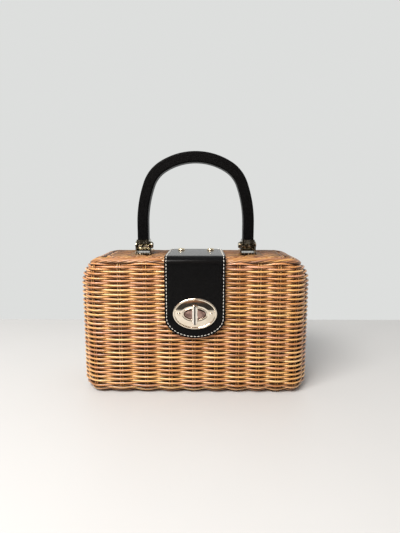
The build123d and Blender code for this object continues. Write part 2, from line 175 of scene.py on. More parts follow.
def colourRamp(tree, factor, stops):
    node = addNode(tree, "ValToRGB", {"Fac": factor})
    points = node.color_ramp.elements
    while len(points) < len(stops):
        points.new(0.5)
    for point, (place, colour) in zip(points, stops):
        point.position = place
        point.color = (*colour, 1)
    return node.outputs["Color"]


def rangeMap(tree, value, low, high, fromLow=0.0, fromHigh=1.0):
    values = {"Value": value, "From Min": fromLow, "From Max": fromHigh, "To Min": low, "To Max": high}
    return addNode(tree, "MapRange", values).outputs["Result"]


def noiseOn(tree, vector, scale, detail=3.0, roughness=0.55):
    values = {"Vector": vector, "Scale": scale, "Detail": detail, "Roughness": roughness}
    return addNode(tree, "TexNoise", values).outputs["Fac"]


def bumpOn(tree, shader, height, strength, distance):
    node = addNode(tree, "Bump", {"Height": height, "Strength": strength, "Distance": distance})
    tree.links.new(node.outputs["Normal"], shader.inputs["Normal"])


reedSpan = 0.95  # the share of one unit of the map that goes once around a reed
reedScale = 100  # units of the map in a metre along a reed
reedShift = 40  # how far along its map a reed may start

wickerLook = {
    "dark": (0.28, 0.095, 0.024),
    "honey": (0.60, 0.255, 0.072),
    "gold": (0.80, 0.43, 0.130),
    "pale": (0.94, 0.66, 0.33),
    "blush": (0.74, 0.35, 0.200),
    "ramp": ((0.10, "dark"), (0.36, "honey"), (0.58, "gold"), (0.90, "pale")),
    "fibrePlace": (0.9, 9.0, 3.7),  # weights of the way along, the way round and the reed's number
    "fibreNoise": (2.2, 5.0, 0.65),  # size, detail, roughness
    "driftPlace": (0.16, 5.3),  # weights of the way along and the reed's number
    "driftNoise": (1.6, 2.0),
    "blushPlace": (0.10, 8.9, 4.0),  # the same, and a shift
    "blushNoise": (1.3, 2.0),
    "shadeWeights": (0.42, 0.62, 0.36),  # of the reed's own shade, the drift and the fibre
    "shadeShift": -0.22,
    "blushShare": (0.0, 0.75, 0.50, 0.72),  # low and high, and the noise that gives each, here and below
    "grain": (0.45, 1.0, 0.30, 0.44),
    "facing": (0.50, 0.97),
    "rough": (0.26, 0.52),
    "coatRough": 0.22,
    "specular": 0.55,
    "bump": (0.7, 0.00006),
}


def makeReedMaterial(name, lightness, creviceShade=0.80, turned=0.0, shadeOver=1.0, coat=0.6):
    # each reed is told apart by the whole part of its map's second number
    look = wickerLook
    material, tree, shader = newMaterial(name)
    place = addNode(tree, "UVMap", uv_map="reedMap").outputs["UV"]
    along, code = addNode(tree, "SeparateXYZ", {0: place}).outputs[:2]
    number = mathStep(tree, "FLOOR", code)
    around = mathStep(tree, "FRACT", code)
    chance = addNode(tree, "TexWhiteNoise", {"W": number}, noise_dimensions="1D").outputs["Value"]
    # fine fibres run along the reed
    fibrePlace = weighedPlace(tree, (along, around, number), look["fibrePlace"])
    fibre = noiseOn(tree, fibrePlace, *look["fibreNoise"])
    # slow change of shade along each reed
    driftPlace = weighedPlace(tree, (along, number), look["driftPlace"])
    drift = noiseOn(tree, driftPlace, *look["driftNoise"])
    shade = weighedSum(tree, (chance, drift, fibre), look["shadeWeights"])
    shade = mathStep(tree, "ADD", shade, lightness + look["shadeShift"])
    colour = colourRamp(tree, shade, [(stop, look[key]) for stop, key in look["ramp"]])
    # some lengths are pinker, as peeled willow and cane are
    blushPlace = weighedPlace(tree, (along, number, 1.0), look["blushPlace"])
    blush = noiseOn(tree, blushPlace, *look["blushNoise"])
    colour = mixColours(tree, rangeMap(tree, blush, *look["blushShare"]), colour, (*look["blush"], 1))
    # thin dark grain lines and the odd speck
    colour = mixColours(tree, 1.0, colour, rangeMap(tree, fibre, *look["grain"]), "MULTIPLY")
    # painted shade: each reed is darkened where it lies against its neighbours, standing in for the shade
    # between reeds, and shadeOver darkens the whole reed
    turn = mathStep(tree, "MULTIPLY", around, 2 * pi / reedSpan)
    facing = mathStep(tree, "ABSOLUTE", mathStep(tree, "COSINE", mathStep(tree, "ADD", turn, turned)))
    paintedShade = rangeMap(tree, facing, shadeOver, shadeOver * (1.0 - creviceShade), *look["facing"])
    setInputs(tree, shader, {"Base Color": mixColours(tree, 1.0, colour, paintedShade, "MULTIPLY"),
                             "Roughness": rangeMap(tree, fibre, *look["rough"]),
                             "Coat Weight": coat, "Coat Roughness": look["coatRough"],
                             "Specular IOR Level": look["specular"]})
    bumpOn(tree, shader, fibre, *look["bump"])
    return material


leatherLook = {
    "deep": (0.0008, 0.0008, 0.0010),
    "worn": (0.0036, 0.0035, 0.0036),
    "ramp": (0.25, 0.85),
    "warpSize": 260.0,
    "warp": 0.0012,
    "grainSize": 1500.0,
    "fineShare": 3.2,
    "creaseSize": 420.0,
    "pebble": 0.32,
    "heightWeights": (1.0, 0.35, 0.45),  # of the pebbles, the fine grain and the creases
    "toneWeights": (0.55, 0.6),  # of the pebbles and the creases
    "creaseRange": (0.3, 0.7),
    "specular": 0.04,
    "coatIor": 1.12,
    "coatRough": 0.16,
    "bump": 0.9,
}


def makeLeatherMaterial(name, grainScale, rough, depth, sheen):
    look = leatherLook
    material, tree, shader = newMaterial(name)
    place = objectPlace(tree)
    warp = {"Vector": place, "Scale": look["warpSize"], "Detail": 2.0}
    warp = {0: addNode(tree, "TexNoise", warp).outputs["Color"], 1: (look["warp"],) * 3}
    nudge = addNode(tree, "VectorMath", warp, operation="MULTIPLY").outputs[0]
    wavy = addNode(tree, "VectorMath", {0: place, 1: nudge}, operation="ADD").outputs[0]
    cells = addNode(tree, "TexVoronoi", {"Vector": wavy, "Scale": look["grainSize"] * grainScale},
                    feature="DISTANCE_TO_EDGE").outputs["Distance"]
    pebble = rangeMap(tree, cells, 0.0, 1.0, 0.0, look["pebble"])
    fine = noiseOn(tree, place, look["grainSize"] * look["fineShare"] * grainScale, 4.0, 0.7)
    crease = noiseOn(tree, place, look["creaseSize"] * grainScale)
    tone = weighedSum(tree, (pebble, crease), look["toneWeights"])
    setInputs(tree, shader, {
        "Base Color": colourRamp(tree, tone, list(zip(look["ramp"], (look["deep"], look["worn"])))),
        "Roughness": rangeMap(tree, crease, *rough, *look["creaseRange"]),
        "Specular IOR Level": look["specular"],
        "Coat Weight": sheen, "Coat IOR": look["coatIor"], "Coat Roughness": look["coatRough"]})
    bumpOn(tree, shader, weighedSum(tree, (pebble, fine, crease), look["heightWeights"]), look["bump"], depth)
    return material


metalLook = {
    "cloudSize": 160.0,
    "brush": (900.0, 900.0, 5200.0),
    "ramp": (0.30, 0.62),
    "grooveDark": 0.05,
    "grooveEdge": (0.90, 1.15),  # where the groove's dark starts and ends to fade, in half widths
    "roughRange": (0.35, 0.7),
    "lineRough": 0.05,
    "lineDepth": 0.00001,
}


def makeMetalMaterial(name, colour, shadow, rough, scratch, groove=0.0):
    look = metalLook
    material, tree, shader = newMaterial(name)
    place = objectPlace(tree)
    cloud = noiseOn(tree, place, look["cloudSize"])
    brushed = addNode(tree, "Mapping", {"Vector": place, "Scale": look["brush"]}).outputs[0]
    lines = noiseOn(tree, brushed, 1.0, 3.0, 0.6)
    shade = colourRamp(tree, cloud, list(zip(look["ramp"], (shadow, colour))))
    if groove:
        # painted shade: the groove along the middle is painted near-black, standing in for the shade in it
        aside = mathStep(tree, "ABSOLUTE", addNode(tree, "SeparateXYZ", {0: place}).outputs[0])
        start, end = (groove * share for share in look["grooveEdge"])
        grooveShade = rangeMap(tree, aside, look["grooveDark"], 1.0, start, end)
        shade = mixColours(tree, 1.0, shade, grooveShade, "MULTIPLY")
    worn = rangeMap(tree, cloud, *rough, *look["roughRange"])
    setInputs(tree, shader, {"Base Color": shade, "Metallic": 1.0,
                             "Roughness": weighedSum(tree, (worn, lines), (1.0, look["lineRough"]))})
    bumpOn(tree, shader, lines, scratch, look["lineDepth"])
    return material


# how far the noise is drawn out each way, its detail and roughness, and what follows it
grainLooks = {
    "ferrulePaintedReflection": {  # old brass plating, with painted reflection: upright streaks, bright and near-black
        "stretches": [(620.0, 500.0, 26.0)], "noise": (2.0, 0.5),
        "ramp": [(0.36, (0.030, 0.027, 0.020)), (0.50, (0.13, 0.115, 0.080)), (0.57, (0.62, 0.56, 0.43)),
                 (0.66, (0.88, 0.82, 0.70))],
        "rough": (0.30, 0.12, 0.35, 0.65), "inputs": {"Metallic": 1.0}, "bump": (0.25, 0.0001),
    },
    "stitchThread": {
        "stretches": [(5200.0, 1500.0, 1500.0)], "turn": (0.6, 0.6, 0.6), "noise": (2.0, 0.55),
        "ramp": [(0.3, (0.50, 0.48, 0.43)), (0.65, (0.78, 0.76, 0.71))],
        "inputs": {"Roughness": 0.7, "Sheen Weight": 0.3}, "bump": (0.6, 0.00008),
    },
    "coreWood": {
        "stretches": [(900.0, 900.0, 70.0)], "noise": (4.0, 0.6),
        "ramp": [(0.3, (0.30, 0.16, 0.07)), (0.7, (0.56, 0.36, 0.19))],
        "rough": (0.45, 0.7), "inputs": {}, "bump": (0.4, 0.0001),
    },
    "caneHoop": {
        "stretches": [(60.0, 700.0, 900.0)], "noise": (4.0, 0.6),
        "ramp": [(0.3, wickerLook["dark"]), (0.5, wickerLook["honey"]), (0.75, wickerLook["gold"])],
        "rough": (0.35, 0.6), "inputs": {"Coat Weight": 0.2}, "bump": (0.5, 0.0001),
    },
    "liningClothShade": {  # the higher of two noises, for the two ways that its threads run
        "stretches": [(2600.0, 2600.0, 300.0), (300.0, 300.0, 2600.0)], "noise": (2.0, 0.55),
        # the near-black is painted shade for the dark inside that shows through the weave's gaps
        "ramp": [(0.35, (0.012, 0.007, 0.004)), (0.75, (0.050, 0.030, 0.018))],
        "inputs": {"Roughness": 0.9, "Specular IOR Level": 0.2, "Sheen Weight": 0.15}, "bump": (0.6, 0.0001),
    },
}


def makeGrainMaterial(name):
    look = grainLooks[name]
    material, tree, shader = newMaterial(name)
    place = objectPlace(tree)
    noises = []
    for stretch in look["stretches"]:
        values = {"Vector": place, "Rotation": look.get("turn", (0, 0, 0)), "Scale": stretch}
        drawn = addNode(tree, "Mapping", values).outputs[0]
        noises.append(noiseOn(tree, drawn, 1.0, *look["noise"]))
    grain = mathStep(tree, "MAXIMUM", *noises) if len(noises) > 1 else noises[0]
    setInputs(tree, shader, {"Base Color": colourRamp(tree, grain, look["ramp"]), **look["inputs"]})
    if "rough" in look:
        setInputs(tree, shader, {"Roughness": rangeMap(tree, grain, *look["rough"])})
    bumpOn(tree, shader, grain, *look["bump"])
    return material


weftWicker = makeReedMaterial("weftWicker", -0.03)
stakeWicker = makeReedMaterial("stakeWicker", 0.02)
# the border and lid are darker copies of the wicker: their lower shadeOver is painted shade over the top band
borderWicker = makeReedMaterial("borderWicker", -0.18, creviceShade=0.75, turned=pi / 4, shadeOver=0.66,
                                coat=0.15)
lidWicker = makeReedMaterial("lidWicker", -0.10, turned=pi / 2, shadeOver=0.70, coat=0.15)
flapLeather = makeLeatherMaterial("flapLeather", 0.85, rough=(0.34, 0.50), depth=0.00020, sheen=1.0)
handleLeather = makeLeatherMaterial("handleLeather", 1.0, rough=(0.36, 0.52), depth=0.00010, sheen=0.22)
lockMetal, bossMetal, knobMetal, rivetMetal, hingeMetal, steelMetal = (makeMetalMaterial(*look) for look in (
    ("lockMetal", (0.88, 0.80, 0.67), (0.80, 0.70, 0.55), (0.045, 0.11), 0.06),
    # the boss has its own pinkish brown, made darker as painted shade for the slot round the turning bar
    ("bossMetal", (0.46, 0.30, 0.25), (0.10, 0.06, 0.05), (0.14, 0.26), 0.10),
    ("knobMetal", (0.93, 0.88, 0.80), (0.86, 0.79, 0.69), (0.08, 0.16), 0.08, 0.00075),
    ("rivetMetal", (0.84, 0.74, 0.55), (0.72, 0.60, 0.42), (0.16, 0.30), 0.15),
    ("hingeMetal", (0.72, 0.56, 0.30), (0.55, 0.40, 0.20), (0.22, 0.40), 0.3),
    ("steelMetal", (0.62, 0.62, 0.63), (0.46, 0.46, 0.47), (0.20, 0.36), 0.25)))
ferrulePaintedReflection, stitchThread, coreWood, caneHoop, liningClothShade = (makeGrainMaterial(name) for name in grainLooks)
print("materials made")


# ---- reeds: tubes swept along woven paths

def newBundle():
    return {"points": [], "faces": [], "map": [], "reeds": 0}


def sweepReed(bundle, path, sideways, radius, closed=True, sides=8):
    # sideways is one direction for each point of the path, or one for them all
    points, faces, places, reed = (bundle[key] for key in ("points", "faces", "map", "reeds"))
    count, first = len(path), len(points)
    travel = [random.random() * reedShift]
    for i in range(count):
        point = path[i]
        after = path[(i + 1) % count] if closed or i < count - 1 else point
        before = path[i - 1] if closed or i > 0 else point
        along = (after - before).normalized()
        side = sideways[i] if isinstance(sideways, list) else sideways
        side = (side - along * side.dot(along)).normalized()
        out = along.cross(side)
        size = radius[i] if isinstance(radius, list) else radius
        for k in range(sides):
            angle = 2 * pi * k / sides
            points.append(point + side * (size * cos(angle)) + out * (size * sin(angle)))
        travel.append(travel[-1] + (after - point).length * reedScale)
    for i in range(count if closed else count - 1):
        here = first + i * sides
        there = first + ((i + 1) % count) * sides
        for k in range(sides):
            n = (k + 1) % sides
            faces.append((here + k, here + n, there + n, there + k))
            low, high = reed + reedSpan * k / sides, reed + reedSpan * (k + 1) / sides
            places += [travel[i], low, travel[i], high, travel[i + 1], high, travel[i + 1], low]
    if not closed:
        last = first + (count - 1) * sides
        faces.append(tuple(first + k for k in reversed(range(sides))))
        faces.append(tuple(last + k for k in range(sides)))
        places += [travel[0], reed + 0.5] * sides + [travel[-1], reed + 0.5] * sides
    bundle["reeds"] += 1


def makeReeds(bundle, name):
    piece = meshPiece(name, bundle["points"], bundle["faces"])
    piece.data.uv_layers.new(name="reedMap").data.foreach_set("uv", bundle["map"])
    pickOnly(piece)
    bpy.ops.object.shade_smooth()
    return piece


def outlineLength(halfX, halfY, corner):
    return 4 * (halfX - corner) + 4 * (halfY - corner) + 2 * pi * corner


def outlinePoint(distance, halfX, halfY, corner):
    # a rounded box outline from the middle of the front, to the right first: place and outward direction
    flatX, flatY, arc = halfX - corner, halfY - corner, pi * corner / 2
    distance %= outlineLength(halfX, halfY, corner)
    if distance < flatX:
        return Vector((distance, -halfY, 0)), Vector((0, -1, 0))
    distance -= flatX
    legs = [(flatX, -flatY, -90, (0, 1), 2 * flatY), (flatX, flatY, 0, (-1, 0), 2 * flatX),
            (-flatX, flatY, 90, (0, -1), 2 * flatY), (-flatX, -flatY, 180, (1, 0), flatX)]
    for centreX, centreY, turn, heading, run in legs:
        bend = min(distance, arc)
        distance -= bend
        angle = radians(turn) + bend / corner
        out = Vector((cos(angle), sin(angle), 0))
        if distance <= run:
            return Vector((centreX, centreY, 0)) + out * corner + Vector((*heading, 0)) * distance, out
        distance -= run
    return Vector((0, -halfY, 0)), Vector((0, -1, 0))


def quarterTurn(steps):
    return [pi / 2 * i / steps for i in range(steps + 1)]


waveTurns = (3, 7, 13, 22)


def slowWave(length, size):
    # a gentle closed wander along a ring of this length
    parts = [(random.uniform(-1, 1), random.uniform(0, 6.3), turns) for turns in waveTurns]

    def wave(distance):
        return size / 2 * sum(amount * sin(2 * pi * turns * distance / length + phase)
                              for amount, phase, turns in parts)
    return wave


# ---- the woven wall

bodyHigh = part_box("basket_body")[1]
basket = {
    "halfX": bodyHigh[0],
    "halfY": bodyHigh[1],
    "corner": 28 * mm,
    "foot": 12 * mm,
    "shoulder": 8 * mm,  # how the front and back turn in under the border
    "endShoulder": 28 * mm,  # how the two ends do
    "fullLean": 1.35,
    "endPower": 1.2,  # over 1, the ends' own section fades out sooner along the corners
    "top": bodyHigh[2],
    "skin": 3.4 * mm,  # middle of the weave, in from the outside
    "weftRadius": 1.27 * mm,
    "thickRange": (0.94, 1.04),
    "swell": 0.05,
    "weave": 2.15 * mm,  # how far a weft swings out and in
    "swingRange": (0.95, 1.03),
    "grip": 1.05,  # over 1, reeds bend close to the stakes and lie together between them
    "rowPitch": 2.55 * mm,
    "firstRow": 1.3 * mm,
    "rows": 60,
    "lowerRows": 30,  # the weave is two pieces, to keep each one light
    "rowWander": 0.10 * mm,
    "arch": 1.2 * mm,  # how far the top row rises and falls at the stakes
    "archedRows": 2,
    "stakes": 26,
    "frontStakes": range(-4, 6),
    "frontGap": (25.6, 0.55, 1.6),  # in millimetres: their gap, how it closes to the right, their shift
    "pointsPerStake": 10,
    "stakeRadius": 0.72 * mm,
    "stakeHalfGap": 1.30 * mm,
    "stakeRange": (0.92, 1.08),
    "stakeLean": 0.25,
    "stakeSway": (9, 90),  # how it turns up a stake, and shifts from stake to stake
    "stakePoints": 46,
    "stakeCrowding": 1.15,  # over 1, its points stand closer at the foot
    "thinSides": 6,
}


def shoulderSection(z, radius):
    # the turn at the top for one radius: inset, height and lean
    skin = basket["skin"]
    over = z - (basket["top"] - radius)
    if over <= 0:
        return skin, z, 0.0
    bendRadius = radius - skin
    lean = min(over / bendRadius, basket["fullLean"])
    return radius - bendRadius * cos(lean), basket["top"] - radius + bendRadius * sin(lean), lean


def wallSection(climb, endShare):
    # the middle of the weave, this far up from the underside: inset, height, outward and upward parts
    skin, foot = basket["skin"], basket["foot"]
    bendRadius = foot - skin
    quarter = bendRadius * pi / 2
    if climb < quarter:
        sine, cosine = sin(climb / bendRadius), cos(climb / bendRadius)
        return foot - bendRadius * sine, foot - bendRadius * cosine, (sine, -cosine), (cosine, sine)
    z = foot + climb - quarter
    side, end = shoulderSection(z, basket["shoulder"]), shoulderSection(z, basket["endShoulder"])
    inset, height, lean = (a + (b - a) * endShare for a, b in zip(side, end))
    return inset, height, (cos(lean), sin(lean)), (-sin(lean), cos(lean))


midOutline = [basket[key] - basket["skin"] for key in ("halfX", "halfY", "corner")]
ringLength = outlineLength(*midOutline)

# the front stakes are spread a little unevenly, the others evenly
gap, closing, shift = basket["frontGap"]
stakePlaces = [(gap * k - closing * k * k - shift) * mm for k in basket["frontStakes"]]
restCount = basket["stakes"] - len(stakePlaces)
restGap = (ringLength + stakePlaces[0] - stakePlaces[-1]) / (restCount + 1)
stakePlaces += [stakePlaces[-1] + restGap * (i + 1) for i in range(restCount)]


def endShareOf(normal):
    # nothing along the front and back, everything at the two ends
    return abs(normal.x) ** basket["endPower"]


def wallPoint(distance, climb, outward=0.0, lift=0.0):
    # the point, and the direction up the wall there
    place, normal = outlinePoint(distance, *midOutline)
    inset, z, out, up = wallSection(climb, endShareOf(normal))
    level = basket["skin"] - inset + outward * out[0] + lift * up[0]
    rise = normal * up[0] + upward * up[1]
    return place + normal * level + upward * (z + outward * out[1] + lift * up[1]), rise


def wallWeft(bundle, row):
    climb = basket["firstRow"] + basket["rowPitch"] * row
    wander = slowWave(ringLength, basket["rowWander"])
    swing = basket["weave"] * random.uniform(*basket["swingRange"])
    thick = basket["weftRadius"] * random.uniform(*basket["thickRange"])
    swell = slowWave(ringLength, basket["swell"])
    archedRow = row - (basket["rows"] - 1 - basket["archedRows"])
    arch = basket["arch"] * max(archedRow, 0) / basket["archedRows"]
    path, sideways, sizes = [], [], []
    steps = basket["pointsPerStake"]
    for k, (start, end) in enumerate(zip(stakePlaces, stakePlaces[1:] + [stakePlaces[0] + ringLength])):
        for i in range(steps):
            part = i / steps
            distance = start + (end - start) * part
            wave = cos(pi * (k + part + row))
            # reeds bend quickly round the stakes and run straighter between them
            wave = copysign(abs(wave) ** basket["grip"], wave)
            place, rise = wallPoint(distance, climb, swing * wave, wander(distance) + arch * wave)
            path.append(place)
            sideways.append(rise)
            sizes.append(thick * (1 + swell(distance)))
    sweepReed(bundle, path, sideways, sizes)


def makeWall():
    rows, split = basket["rows"], basket["lowerRows"]
    pieces = []
    for name, half in (("basketWeaveLower", range(split)), ("basketWeaveUpper", range(split, rows))):
        bundle = newBundle()
        for row in half:
            wallWeft(bundle, row)
        pieces.append(makeReeds(bundle, name))
    stakes = newBundle()
    topClimb = basket["firstRow"] + basket["rowPitch"] * rows
    count, (turn, shift) = basket["stakePoints"], basket["stakeSway"]
    for place in stakePlaces:
        for side in (-1, 1):
            lean = random.uniform(-basket["stakeLean"], basket["stakeLean"]) * mm
            path = []
            for i in range(count):
                part = i / (count - 1)
                nudge = side * basket["stakeHalfGap"] + lean * sin(part * turn + place * shift)
                path.append(wallPoint(place + nudge, topClimb * part ** basket["stakeCrowding"])[0])
            heading = outlinePoint(place, *midOutline)[1].cross(upward)
            radius = basket["stakeRadius"] * random.uniform(*basket["stakeRange"])
            sweepReed(stakes, path, heading, radius, False, basket["thinSides"])
    return [*pieces, makeReeds(stakes, "basketStakes")]


weaveLower, weaveUpper, wallStakes = makeWall()
print("wall woven")


# ---- the dark lining board inside the weave, its near-black a painted shade for the inside seen through the gaps

lining = {
    "inset": 7.3 * mm,
    "floor": 7.0 * mm,
    "foot": 9 * mm,
    "footSteps": 6,
    "levels": (30, 60, 90, 118, 126, 131, 135, 138.5, 141.5, 143.5, 145.2),  # in millimetres
    "thickness": 0.4 * mm,
    "around": 104,
}


def makeLining():
    outside = lining["inset"] - basket["skin"]
    bend = basket["top"] - basket["endShoulder"]
    endRadius = basket["endShoulder"] - lining["inset"]
    foot, around = lining["foot"], lining["around"]
    points, faces, rings = [], [], []
    for angle in quarterTurn(lining["footSteps"]):
        rings.append((foot * (1 - sin(angle)), lining["floor"] + foot * (1 - cos(angle))))
    rings += [(0.0, level * mm) for level in lining["levels"]]
    for extra, z in rings:
        for i in range(around):
            place, normal = outlinePoint(ringLength * i / around, *midOutline)
            over = min(max(0.0, z - bend), endRadius)
            lean = (endRadius - sqrt(endRadius ** 2 - over ** 2)) * endShareOf(normal)
            points.append(place - normal * (outside + extra + lean) + upward * z)
    for ring in range(len(rings) - 1):
        for i in range(around):
            n = (i + 1) % around
            here, there = ring * around, (ring + 1) * around
            faces.append((here + i, there + i, there + n, here + n))
    faces.append(tuple(range(around)))
    piece = meshPiece("innerShadeLining", points, faces)
    board = piece.modifiers.new("thickness", "SOLIDIFY")
    board.thickness = lining["thickness"]
    board.offset = 1
    applyAll(piece)
    smoothUpTo(piece, 40)
    return piece


innerShadeLining = makeLining()


# ---- the rolled border round the rim

border = {
    "strands": 10,
    "turns": 6,
    "radius": 1.30 * mm,
    "halfWide": (5.7 * mm, 7.0 * mm),  # along the sides, and at the ends
    "halfHigh": 1.75 * mm,
    "inset": (7.9 * mm, 18.3 * mm),
    "drop": (0.0, 1.9 * mm),
    "tilt": (0.03, 0.48),
    "pressed": (2.2 * mm, 1.4 * mm),  # down and in where the leather bears on it
    "pressedHalf": 41 * mm,
    "pressedFade": 8 * mm,
    "square": (0.8, 0.7),  # under 1, the bundle's section is nearer a box than an oval
    "wander": 0.22 * mm,
    "mostRise": 0.1 * mm,
    "thickRange": (0.93, 1.05),
    "steps": 300,
}


def makeBorder():
    bundle = newBundle()
    outline = basket["halfX"], basket["halfY"], basket["corner"]
    length = outlineLength(*outline)
    middle = basket["top"] - border["halfHigh"] - border["radius"]
    squareWide, squareHigh = border["square"]
    pressedDown, pressedIn = border["pressed"]
    for strand in range(border["strands"]):
        path = []
        wander = slowWave(length, border["wander"])
        rise = slowWave(length, border["wander"])
        for i in range(border["steps"]):
            distance = length * i / border["steps"]
            place, normal = outlinePoint(distance, *outline)
            share = endShareOf(normal)
            wide, inset, drop, tilt = (border[key][0] + (border[key][1] - border[key][0]) * share
                                       for key in ("halfWide", "inset", "drop", "tilt"))
            angle = 2 * pi * (border["turns"] * i / border["steps"] + strand / border["strands"])
            across, over = cos(angle), sin(angle)
            across = wide * copysign(abs(across) ** squareWide, across) + wander(distance)
            over = border["halfHigh"] * copysign(abs(over) ** squareHigh, over)
            over += min(rise(distance), border["mostRise"])
            outward = across * cos(tilt) + over * sin(tilt) - inset
            height = middle - drop - across * sin(tilt) + over * cos(tilt)
            if place.y < 0:
                under = min(max((border["pressedHalf"] - abs(place.x)) / border["pressedFade"], 0), 1)
                height -= pressedDown * under
                outward -= pressedIn * under
            path.append(place + normal * outward + upward * height)
        sweepReed(bundle, path, upward, border["radius"] * random.uniform(*border["thickRange"]))
    return makeReeds(bundle, "rimBorder")


rimBorder = makeBorder()
print("border rolled")


# ---- flat woven panels: the lid and the base

def cornerCut(edge, corner):
    # how far a rounded corner is cut back, this far in from the next edge
    return corner - sqrt(corner ** 2 - (corner - min(max(edge, 0), corner)) ** 2)


panel = {
    "edgeRoom": 0.5 * mm,
    "wander": 0.10 * mm,
    "wanderLength": 0.3,
    "pointGap": 2.6 * mm,
    "fewestPoints": 8,
    "thickRange": (0.94, 1.04),
    "stakeHalfGap": 1.2 * mm,
    "stakeSteps": 12,
}


def makePanel(plate, weftName, stakeName):
    wefts, stakes = newBundle(), newBundle()
    halfX, nearY, farY, corner = plate["halfX"], plate["nearY"], plate["farY"], plate["corner"]
    stakeXs, steps = plate["stakeXs"], panel["stakeSteps"]
    rows = int(round((farY - nearY) / plate["pitch"]))
    pitch = (farY - nearY) / rows
    for row in range(rows + 1):
        y = nearY + pitch * row
        reach = halfX - cornerCut(min(y - nearY, farY - y) + panel["edgeRoom"], corner)
        wander = slowWave(panel["wanderLength"], panel["wander"])
        count = max(int(reach * 2 / panel["pointGap"]), panel["fewestPoints"])
        path = []
        for i in range(count + 1):
            x = -reach + 2 * reach * i / count
            wave = cos(pi * ((x - stakeXs[0]) / (stakeXs[1] - stakeXs[0]) + row))
            path.append(Vector((x, y + wander(x + panel["wanderLength"] / 2),
                                plate["middle"] + plate["weave"] * wave)))
        radius = plate["radius"] * random.uniform(*panel["thickRange"])
        sweepReed(wefts, path, Vector((0, 1, 0)), radius, False)
    for x in stakeXs:
        cut = cornerCut(halfX - abs(x), corner)
        near, far = nearY + cut, farY - cut
        for side in (-1, 1):
            aside = x + side * panel["stakeHalfGap"]
            path = [Vector((aside, near + (far - near) * i / steps, plate["middle"]))
                    for i in range(steps + 1)]
            sweepReed(stakes, path, Vector((1, 0, 0)), plate["stakeRadius"], False, basket["thinSides"])
    return makeReeds(wefts, weftName), makeReeds(stakes, stakeName)


lidLow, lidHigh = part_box("basket_lid")
lidPlate = {
    "halfX": lidHigh[0] - 3.6 * mm,
    "nearY": lidLow[1] + 4.4 * mm,
    "farY": lidHigh[1] - 4.4 * mm,
    "corner": 9 * mm,
    "middle": (lidLow[2] + lidHigh[2]) / 2,
    "weave": 1.42 * mm,
    "radius": 1.17 * mm,
    "pitch": 2.42 * mm,
    "stakeRadius": 0.5 * mm,
    "stakeXs": [(-90 + 22.5 * i) * mm for i in range(9)],
}
lidEdge = {
    "strands": 4,
    "turns": 22,
    "steps": 360,
    "corner": 12.5 * mm,
    "radius": 1.12 * mm,
    "half": 1.45 * mm,
    "inset": 2.65 * mm,
}


def makeLidEdge():
    bundle = newBundle()
    halfX = lidHigh[0] - lidEdge["inset"]
    halfY = (lidHigh[1] - lidLow[1]) / 2 - lidEdge["inset"]
    centre = Vector((0, (lidHigh[1] + lidLow[1]) / 2, lidPlate["middle"]))
    corner = lidEdge["corner"] - lidEdge["inset"]
    length = outlineLength(halfX, halfY, corner)
    steps, half = lidEdge["steps"], lidEdge["half"]
    for strand in range(lidEdge["strands"]):
        path = []
        for i in range(steps):
            place, normal = outlinePoint(length * i / steps, halfX, halfY, corner)
            angle = 2 * pi * (lidEdge["turns"] * i / steps + strand / lidEdge["strands"])
            turned = normal * cos(angle) + upward * sin(angle)
            path.append(place + centre + turned * half)
        sweepReed(bundle, path, upward, lidEdge["radius"])
    return makeReeds(bundle, "lidEdge")


basePlate = {
    "halfX": basket["halfX"] - 13.2 * mm,
    "nearY": -basket["halfY"] + 14.0 * mm,
    "farY": basket["halfY"] - 14.0 * mm,
    "corner": 14.5 * mm,
    "middle": 3.05 * mm,
    "weave": 1.62 * mm,
    "radius": 1.30 * mm,
    "pitch": 2.60 * mm,
    "stakeRadius": 0.62 * mm,
    "stakeXs": [(-104 + 26 * i) * mm for i in range(9)],
}


lidWeave, lidStakes = makePanel(lidPlate, "lidWeave", "lidStakes")
lidRim = makeLidEdge()
baseWeave, baseStakes = makePanel(basePlate, "baseWeave", "baseStakes")

finishPiece(weaveLower, weftWicker, "basket", ["basket_body"])
finishPiece(lidWeave, lidWicker, "lid", ["basket_lid"])
for piece, material, body in (
        (weaveUpper, weftWicker, "basket"), (wallStakes, stakeWicker, "basket"),
        (rimBorder, borderWicker, "basket"), (innerShadeLining, liningClothShade, "basket"),
        (baseWeave, weftWicker, "basket"), (baseStakes, stakeWicker, "basket"),
        (lidStakes, stakeWicker, "lid"), (lidRim, borderWicker, "lid")):
    finishPiece(piece, material, body)
print("lid and base woven")


# ---- the leather strap and flap, cut as one strip and bent over the rim

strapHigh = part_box("strap")[1]
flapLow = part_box("flap")[0]
leatherThick = 2.4 * mm
leatherBend = 8.4 * mm  # the outer radius where it bends down over the rim
leather = {
    "half": strapHigh[0],
    "backY": strapHigh[1],
    "topZ": lidHigh[2] + leatherThick,
    "frontY": flapLow[1],
    "bendY": flapLow[1] + leatherBend,
    "bendZ": lidHigh[2] + leatherThick - leatherBend,
    "bottomZ": flapLow[2],
    "endRise": 23 * mm,
    "backCorner": 8 * mm,
    "backSteps": 8,
    "cornerSteps": 10,
    "endSteps": 32,
    "spacing": 1.6 * mm,
    "columns": 10,
    # in from the edge and out from the face, in millimetres, round the front and round the back
    "front": [(0.0, -1.75), (0.0, -0.62), (0.45, -0.14), (1.2, 0.0), (2.05, -0.02), (2.45, -0.26),
              (2.95, -0.26), (3.35, -0.02), (4.6, 0.03), (7.0, 0.06)],
    "back": [(0.0, -1.75), (0.5, -2.26), (1.4, -2.4), (2.7, -2.3), (4.0, -2.4), (7.0, -2.4)],
    "weldGap": 0.00002,
    "slot": (13.0 * mm, 6.95 * mm),
    "slotSides": 72,
    "slotDepth": 0.02,
}
leather["bendRun"] = (leatherBend - leatherThick / 2) * pi / 2
leather["start"] = leather["bendY"] - leather["backY"]
leather["end"] = leather["bendRun"] + leather["bendZ"] - leather["bottomZ"]


